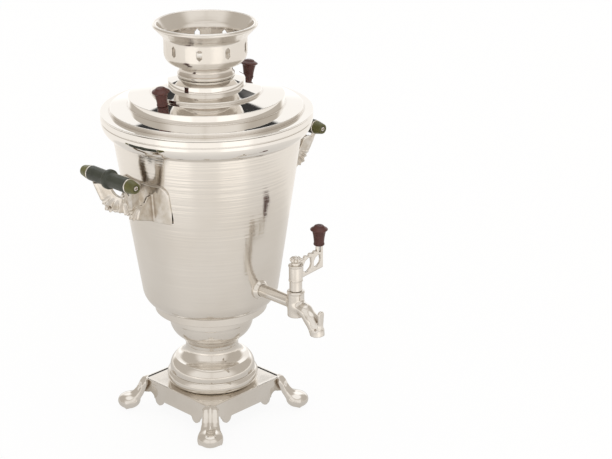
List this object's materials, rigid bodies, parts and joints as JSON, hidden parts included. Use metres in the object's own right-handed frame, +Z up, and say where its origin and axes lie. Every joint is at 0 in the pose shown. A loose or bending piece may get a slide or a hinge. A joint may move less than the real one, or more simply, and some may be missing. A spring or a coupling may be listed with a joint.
{
  "type": "samovar",
  "caption": "Electric samovar: tapered tank on a waisted pedestal and footed square base, stepped lift-off lid with slotted crown, grips on cast brackets, plug tap with pierced key.",
  "frame": {"origin": "on the tank's axis, in the plane of the feet", "axes": "+Z up along the tank's axis, -Y along the tap, +X through the right handle"},
  "size_m": [0.2756, 0.2673, 0.4215],
  "materials": {
    "satin_nickel": "brushed round the axis",
    "bright_nickel": "polished nickel plate",
    "cast_nickel": "cast, plated and tumbled",
    "brown_plastic": "moulded, half gloss",
    "green_plastic": "moulded, satin",
    "olive_plastic": "moulded, satin",
    "steel": "plain",
    "brass": "turned",
    "rubber": "matt"
  },
  "bodies": {
    "samovar": {"base": "bright_nickel", "foot_ring": "bright_nickel", "pedestal_bell": "bright_nickel", "neck_cup": "bright_nickel", "drip_ring": "bright_nickel", "tank": "satin_nickel", "brim": "bright_nickel", "tie_bolt": "steel", "tie_washer": "steel", "tie_boss": "brass", "heater_element": "steel", "heater_seals": "rubber", "heater_nuts": "brass", "inlet_collar": "rubber", "inlet_pins": "brass", "lead_wires": "rubber", "tap_rose": "cast_nickel", "tap_body": "cast_nickel", "tap_gasket": "rubber", "tap_nut": "brass", "bracket_left": "cast_nickel", "bracket_right": "cast_nickel", "bracket_nuts_left": "brass", "bracket_nuts_right": "brass", "grip_left": "green_plastic", "grip_right": "green_plastic", "grip_rod_left": "steel", "grip_rod_right": "steel", "cap_left_front": "olive_plastic", "cap_left_rear": "olive_plastic", "cap_right_front": "olive_plastic", "cap_right_rear": "olive_plastic", "cap_screws_left": "steel", "cap_screws_right": "steel"},
    "key": {"key_plug": "cast_nickel", "key_washer": "brass", "key_screw": "brass", "key_branch": "cast_nickel", "key_rosette": "cast_nickel", "key_knob": "brown_plastic", "key_pin": "steel"},
    "lid": {"lid": "bright_nickel", "lid_knob_left": "brown_plastic", "lid_knob_right": "brown_plastic", "lid_washers": "steel", "lid_screws": "steel"},
    "crown": {"crown": "satin_nickel"}
  },
  "joints": [
    {"name": "key_turn", "type": "hinge", "parent": "samovar", "child": "key", "pos_m": [0, -0.124, 0.17], "axis": [0, 0, 1], "range_deg": [-240, 60]},
    {"name": "lid_lift", "type": "slide", "parent": "samovar", "child": "lid", "axis": [0, 0, 1], "range_m": [0, 0.12]},
    {"name": "crown_lift", "type": "slide", "parent": "lid", "child": "crown", "axis": [0, 0, 1], "range_m": [0, 0.06]}
  ]
}
